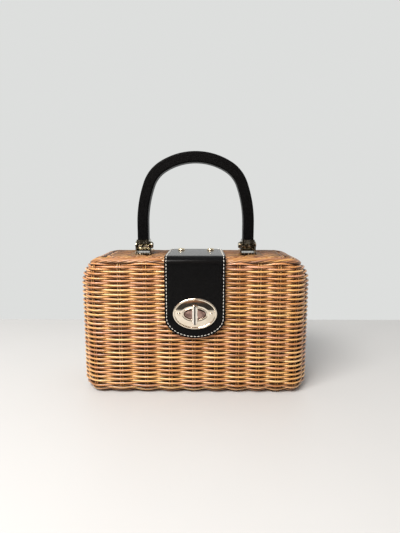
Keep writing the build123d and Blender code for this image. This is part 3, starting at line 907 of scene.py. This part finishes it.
def bendPoint(x, run, lift):
    # run is the distance along the strip from where it starts to bend; lift is out from its outer face
    if run <= 0:
        return Vector((x, leather["bendY"] - run, leather["topZ"] + lift))
    if run >= leather["bendRun"]:
        return Vector((x, leather["frontY"] - lift, leather["bendZ"] - (run - leather["bendRun"])))
    angle = run / leather["bendRun"] * pi / 2
    reach = leatherBend + lift
    return Vector((x, leather["bendY"] - reach * sin(angle), leather["bendZ"] + reach * cos(angle)))


def stripOutline():
    # the right-hand edge from the back middle round to the front middle: place and outward direction
    half, corner, rise = leather["half"], leather["backCorner"], leather["endRise"]
    start, end = leather["start"], leather["end"]
    steps = leather["backSteps"]
    edge = [(Vector(((half - corner) * i / steps, start)), Vector((0, -1))) for i in range(steps)]
    for angle in quarterTurn(leather["cornerSteps"])[:-1]:
        out = Vector((sin(angle), -cos(angle)))
        edge.append((Vector((half - corner, start + corner)) + out * corner, out))
    straight = end - rise - (start + corner)
    steps = int(straight / leather["spacing"])
    for i in range(steps):
        edge.append((Vector((half, start + corner + straight * i / steps)), Vector((1, 0))))
    for angle in quarterTurn(leather["endSteps"]):
        place = Vector((half * cos(angle), end - rise + rise * sin(angle)))
        edge.append((place, Vector((cos(angle) / half, sin(angle) / rise)).normalized()))
    return edge


def stripLoop(right):
    # the whole edge, from its right-hand half
    left = [(Vector((-place.x, place.y)), Vector((-out.x, out.y))) for place, out in reversed(right[1:-1])]
    return right + left


def makeLeather():
    right = stripOutline()
    loop = stripLoop(right)
    size, columns = len(loop), leather["columns"]
    points, faces = [], []

    def addFace(corners, reverse):
        faces.append(tuple(reversed(corners)) if reverse else tuple(corners))

    def addRings(levels, reverse):
        firsts = []
        for distance, lift in levels:
            firsts.append(len(points))
            for place, out in loop:
                spot = place - out * distance * mm
                points.append(bendPoint(spot.x, spot.y, lift * mm))
        for a, b in zip(firsts, firsts[1:]):
            for i in range(size):
                n = (i + 1) % size
                addFace((a + i, a + n, b + n, b + i), reverse)
        # fill the middle with rows from the right edge to the left
        last = firsts[-1]
        distance, lift = levels[-1]
        ladder = []
        for i, (place, out) in enumerate(right):
            if i in (0, len(right) - 1):
                ladder.append([last + i] * (columns + 1))
                continue
            placeRight = place - out * distance * mm
            placeLeft = Vector((-placeRight.x, placeRight.y))
            row = [last + i]
            for c in range(1, columns):
                spot = placeRight.lerp(placeLeft, c / columns)
                row.append(len(points))
                points.append(bendPoint(spot.x, spot.y, lift * mm))
            ladder.append(row + [last + size - i])
        for upper, lower in zip(ladder, ladder[1:]):
            for c in range(columns):
                corners = list(dict.fromkeys((upper[c], lower[c], lower[c + 1], upper[c + 1])))
                if len(corners) > 2:
                    addFace(corners, reverse)

    addRings(leather["front"], False)
    addRings(leather["back"], True)
    piece = meshPiece("leatherFlap", points, faces)
    pickOnly(piece)
    cleanActive(leather["weldGap"])
    return piece


def cutSlot(piece):
    # the oval hole that the turning bar goes through
    bpy.ops.mesh.primitive_cylinder_add(vertices=leather["slotSides"], radius=1, depth=leather["slotDepth"],
                                        location=(0, leather["frontY"], plateMiddle.z),
                                        rotation=(pi / 2, 0, 0))
    cutter = bpy.context.active_object
    cutter.scale = (*leather["slot"], 1)
    settle(cutter)
    hole = piece.modifiers.new("slot", "BOOLEAN")
    hole.operation = "DIFFERENCE"
    hole.solver = "EXACT"
    hole.object = cutter
    applyAll(piece)
    bpy.data.objects.remove(cutter)


stitch = {
    "inset": 2.2 * mm,
    "pitch": 3.8 * mm,
    "length": 2.2 * mm,
    "radius": 0.38 * mm,
    "unstitched": 29 * mm,  # along the back edge, between the rivets' corners
    "edgeRoom": 0.3 * mm,
    "slack": 0.08,
    "parts": (-1.0, -0.85, -0.45, 0.0, 0.45, 0.85, 1.0),
    "sink": 0.42,  # how far its two ends go down into the leather
    "frontLift": 0.15 * mm,
    "backLift": 0.12 * mm,
    "taper": 0.55,
}


def makeStitches():
    # each stitch is swept along its own short length of the seam, on both faces
    seam = [place - out * stitch["inset"] for place, out in stripLoop(stripOutline())]
    seam.append(seam[0])
    lengths = [0.0]
    for a, b in zip(seam, seam[1:]):
        lengths.append(lengths[-1] + (b - a).length)
    total = lengths[-1]
    count = int(round(total / stitch["pitch"]))

    def seamPoint(distance):
        distance %= total
        for i in range(len(seam) - 1):
            if lengths[i + 1] >= distance:
                part = (distance - lengths[i]) / max(lengths[i + 1] - lengths[i], 1e-9)
                return seam[i].lerp(seam[i + 1], part)
        return seam[-1]

    bundle = newBundle()
    half = stitch["length"] / 2
    backEnd = leather["start"] + stitch["inset"] + stitch["edgeRoom"]
    for face in (1, -1):
        for i in range(count):
            middle = total * (i + 0.5) / count
            centre = seamPoint(middle)
            if centre.y < backEnd and abs(centre.x) < stitch["unstitched"]:
                continue
            slack = random.uniform(-stitch["slack"], stitch["slack"]) * mm
            path, sizes = [], []
            for part in stitch["parts"]:
                spot = seamPoint(middle + half * part)
                drop = -stitch["sink"] * part ** 4 * mm
                lift = drop + stitch["frontLift"] if face > 0 else -(leatherThick + stitch["backLift"] + drop)
                path.append(bendPoint(spot.x, spot.y, lift))
                path[-1].x += slack * part
                sizes.append(stitch["radius"] * (1 - stitch["taper"] * abs(part) ** 6))
            along = (path[-1] - path[0]).normalized()
            outward = bendPoint(centre.x, centre.y, 0.01) - bendPoint(centre.x, centre.y, 0)
            sweepReed(bundle, path, along.cross(outward), sizes, False, basket["thinSides"])
    return makeReeds(bundle, "flapStitches")


leatherFlap = makeLeather()
cutSlot(leatherFlap)
smoothUpTo(leatherFlap, 38)
flapStitches = makeStitches()
for piece, material in ((leatherFlap, flapLeather), (flapStitches, stitchThread)):
    setMaterial(piece, material)
    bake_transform(piece)
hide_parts("strap", "flap")
print("leather bent and stitched")


# ---- the turn lock's front plate

lockPlate = {
    "halfX": plateHigh.x,
    "halfZ": (plateHigh.z - plateLow.z) / 2,
    "front": plateLow.y,
    "back": plateHigh.y,
    "slotX": 11.9 * mm,
    "slotZ": 5.85 * mm,
    "lip": (0.85 * mm, 0.72 * mm, 0.55 * mm, 6),  # half width, depth of its foot, rise, steps
    "rim": (1.15 * mm, 1.60 * mm, 0.80 * mm, 8),
    "lipStart": 0.9 * mm,
    "fieldStart": 1.75 * mm,  # out from the slot
    "field": (0.42 * mm, 1.18 * mm, 1.45, 9),  # depth at the lip, fall, power of the curve, steps
    "sides": 120,
    "weldGap": 0.00001,
}


def loftOval(name, centre, rings):
    # a circle is drawn out ring by ring; each ring is (half length, half height, depth)
    clearSelection()
    bpy.ops.mesh.primitive_circle_add(vertices=lockPlate["sides"], radius=1, rotation=(pi / 2, 0, 0))
    piece = bpy.context.active_object
    piece.name = name
    piece.scale = (*rings[0][:2], 1)
    settle(piece)
    bpy.ops.object.mode_set(mode="EDIT")
    bpy.ops.mesh.select_all(action="SELECT")
    bpy.ops.transform.translate(value=(centre.x, rings[0][2], centre.z))
    for before, now in zip(rings, rings[1:]):
        bpy.ops.mesh.extrude_edges_move()
        bpy.ops.transform.resize(value=(now[0] / before[0], 1, now[1] / before[1]),
                                 center_override=(centre.x, before[2], centre.z))
        bpy.ops.transform.translate(value=(0, now[2] - before[2], 0))
    cleanActive(lockPlate["weldGap"])
    return piece


def beadRings(x, z, half, foot, rise, steps):
    # a half-round bead that starts at this oval and grows outward
    rings = []
    for step in range(steps + 1):
        angle = pi * step / steps
        grow = half * (1 - cos(angle))
        rings.append((x + grow, z + grow, lockPlate["front"] + foot - rise * sin(angle)))
    return rings


def makeLockPlate():
    front, back = lockPlate["front"], lockPlate["back"]
    slotX, slotZ = lockPlate["slotX"], lockPlate["slotZ"]
    edgeX, edgeZ = lockPlate["halfX"], lockPlate["halfZ"]
    rimWide = 2 * lockPlate["rim"][0]
    rimX, rimZ = edgeX - rimWide, edgeZ - rimWide
    lipX, lipZ = slotX + lockPlate["fieldStart"], slotZ + lockPlate["fieldStart"]
    rings = [(slotX, slotZ, back), (slotX, slotZ, front + lockPlate["lipStart"])]
    rings += beadRings(slotX, slotZ, *lockPlate["lip"])
    # the gently domed field between the lip and the rim
    depth, fall, power, steps = lockPlate["field"]
    for step in range(1, steps + 1):
        part = step / steps
        rings.append((lipX + (rimX - lipX) * part, lipZ + (rimZ - lipZ) * part,
                      front + depth + fall * part ** power))
    rings += beadRings(rimX, rimZ, *lockPlate["rim"])
    # the edge down to the leather, and the back
    rings += [(edgeX, edgeZ, back), (slotX, slotZ, back)]
    piece = loftOval("lockPlate", plateMiddle, rings)
    smoothUpTo(piece, 50)
    return piece


plate = makeLockPlate()
finishPiece(plate, lockMetal, "flap", ["lock_plate"])
print("lock plate made")


# ---- finishes of the frame's own parts

# a node takes the first material here with a name that its own name starts with
finishes = [
    (lockMetal, ("lock_base_rivets", "lock_plate_", "lock_inner_plate", "knob_washer")),
    (bossMetal, "lock_base"), (knobMetal, "lock_knob"), (rivetMetal, "strap_"),
    (steelMetal, ("knob_clip", "bracket_backing", "hinge_pin")), (hingeMetal, "hinge"),
    (ferrulePaintedReflection, ("bracket", "ferrule", "pivot")),
    (handleLeather, "handle_cover"), (coreWood, "handle_core"), (caneHoop, "rim_hoop"),
]
for name, node in nodes.items():
    material = next((material for material, starts in finishes if name.startswith(starts)), None)
    if material:
        setMaterial(node, material)
print("finishes set")


# ---- room, lights and camera

studio = {
    "floor": (0.52, 0.52, 0.52),
    "floorShade": 0.985,
    "wall": (0.725, 0.735, 0.725),
    "overhead": (0.50, 0.50, 0.50),
    "rightSide": (0.55, 0.55, 0.54),
    "rightFade": (0.60, 0.9),
    "overheadFade": (0.70, 0.92),
    "backFade": (-0.05, 0.35),
    "backEdge": 0.2506,
    "frontEdge": -1.1,
    "halfWidth": 1.6,
    "floorZ": -0.0001,
    "cardDark": (0.006, 0.005, 0.005),
    "cardWarm": (0.55, 0.235, 0.105),
    "cardY": -1.05,
    "cardHalf": 1.25,
    "cardTop": 1.35,
    "cardRise": (0.0, 1.0, 0.24, 0.36),  # how its warmth grows upward, and to the left
    "cardSide": (1.0, 0.25, -0.10, 0.30),
}


def studioSheet(name, cuts, size, place, turn=(0, 0, 0)):
    bpy.ops.mesh.primitive_grid_add(x_subdivisions=cuts, y_subdivisions=cuts, size=1, rotation=turn)
    sheet = bpy.context.active_object
    sheet.name = name
    sheet.scale = (*size, 1)
    sheet.location = place
    settle(sheet)
    return sheet


def makeFloor():
    back, front = studio["backEdge"], studio["frontEdge"]
    floor = studioSheet("studioFloor", 8, (2 * studio["halfWidth"], back - front),
                        (0, (back + front) / 2, studio["floorZ"]))
    material, tree, shader = newMaterial("paleFloor")
    cloud = noiseOn(tree, objectPlace(tree), 6.0)
    shaded = tuple(c * studio["floorShade"] for c in studio["floor"])
    setInputs(tree, shader, {"Base Color": colourRamp(tree, cloud, [(0.3, shaded), (0.7, studio["floor"])]),
                             "Roughness": 0.45, "Specular IOR Level": 0.25})
    setMaterial(floor, material)


def makeWorld():
    # pale walls all round, a little dimmer above and on the right
    world = bpy.data.worlds.new("softRoom")
    bpy.context.scene.world = world
    world.use_nodes = True
    tree = world.node_tree
    direction = addNode(tree, "TexCoord").outputs["Generated"]
    x, y, z = addNode(tree, "SeparateXYZ", {0: direction}).outputs
    colour = (*studio["wall"], 1)
    for value, fade, reached in ((x, "rightFade", "rightSide"), (z, "overheadFade", "overhead"),
                                 (y, "backFade", "wall")):
        low, high = studio[fade]
        share = addNode(tree, "MapRange", {"Value": value, "From Min": low, "From Max": high},
                        interpolation_type="SMOOTHSTEP").outputs["Result"]
        colour = mixColours(tree, share, colour, (*studio[reached], 1))
    setInputs(tree, tree.nodes["Background"], {"Color": colour, "Strength": 1.0})


def makeCard():
    # a dark card in front keeps the leather black and gives the lock something to mirror
    card = studioSheet("studioCard", 6, (2 * studio["cardHalf"], studio["cardTop"]),
                       (0, studio["cardY"], studio["cardTop"] / 2), (pi / 2, 0, 0))
    material, tree, shader = newMaterial("darkCard")
    x, y, z = addNode(tree, "SeparateXYZ", {0: objectPlace(tree)}).outputs
    # the card glows as a dim lamp: near-black below, warm above and to the left, and the lock mirrors this
    # glow
    warmth = mathStep(tree, "MULTIPLY", rangeMap(tree, z, *studio["cardRise"]),
                      rangeMap(tree, x, *studio["cardSide"]))
    glow = colourRamp(tree, warmth, [(0.0, studio["cardDark"]), (1.0, studio["cardWarm"])])
    setInputs(tree, shader, {"Base Color": (0.01, 0.01, 0.01, 1), "Roughness": 0.9,
                             "Emission Color": glow, "Emission Strength": 1.0})
    setMaterial(card, material)
    card.visible_camera = False


keyLight = {
    "place": (-0.42, -0.72, 0.95),
    "target": (0, 0, 0.08),
    "size": (0.75, 0.45),
    "watts": 23.0,
    "tint": (1.0, 0.985, 0.95),
}


def makeKeyLight():
    bpy.ops.object.light_add(type="AREA", location=keyLight["place"])
    lamp = bpy.context.active_object
    lamp.name = "keyWindow"
    lamp.data.shape = "RECTANGLE"
    lamp.data.size, lamp.data.size_y = keyLight["size"]
    lamp.data.energy = keyLight["watts"]
    lamp.data.color = keyLight["tint"]
    heading = Vector(keyLight["target"]) - Vector(keyLight["place"])
    lamp.rotation_euler = heading.to_track_quat("-Z", "Y").to_euler()
    lamp.visible_camera = False


viewpoint = {
    "place": (8.0 * mm, -460 * mm, 206.3 * mm),
    "turn": (radians(90 - 8.349), 0, radians(0.357)),
    "sensor": 36,
    "lens": 36 * 385 / 533,
    "nearest": 0.01,
}


def makeCamera():
    bpy.ops.object.camera_add(location=viewpoint["place"], rotation=viewpoint["turn"])
    camera = bpy.context.active_object
    camera.name = "viewpoint"
    camera.data.sensor_width = viewpoint["sensor"]
    camera.data.sensor_fit = "AUTO"
    camera.data.lens = viewpoint["lens"]
    camera.data.clip_start = viewpoint["nearest"]
    bpy.context.scene.camera = camera


makeFloor()
makeWorld()
makeCard()
makeKeyLight()
makeCamera()
bpy.context.scene.view_settings.view_transform = "Standard"
print("studio set")
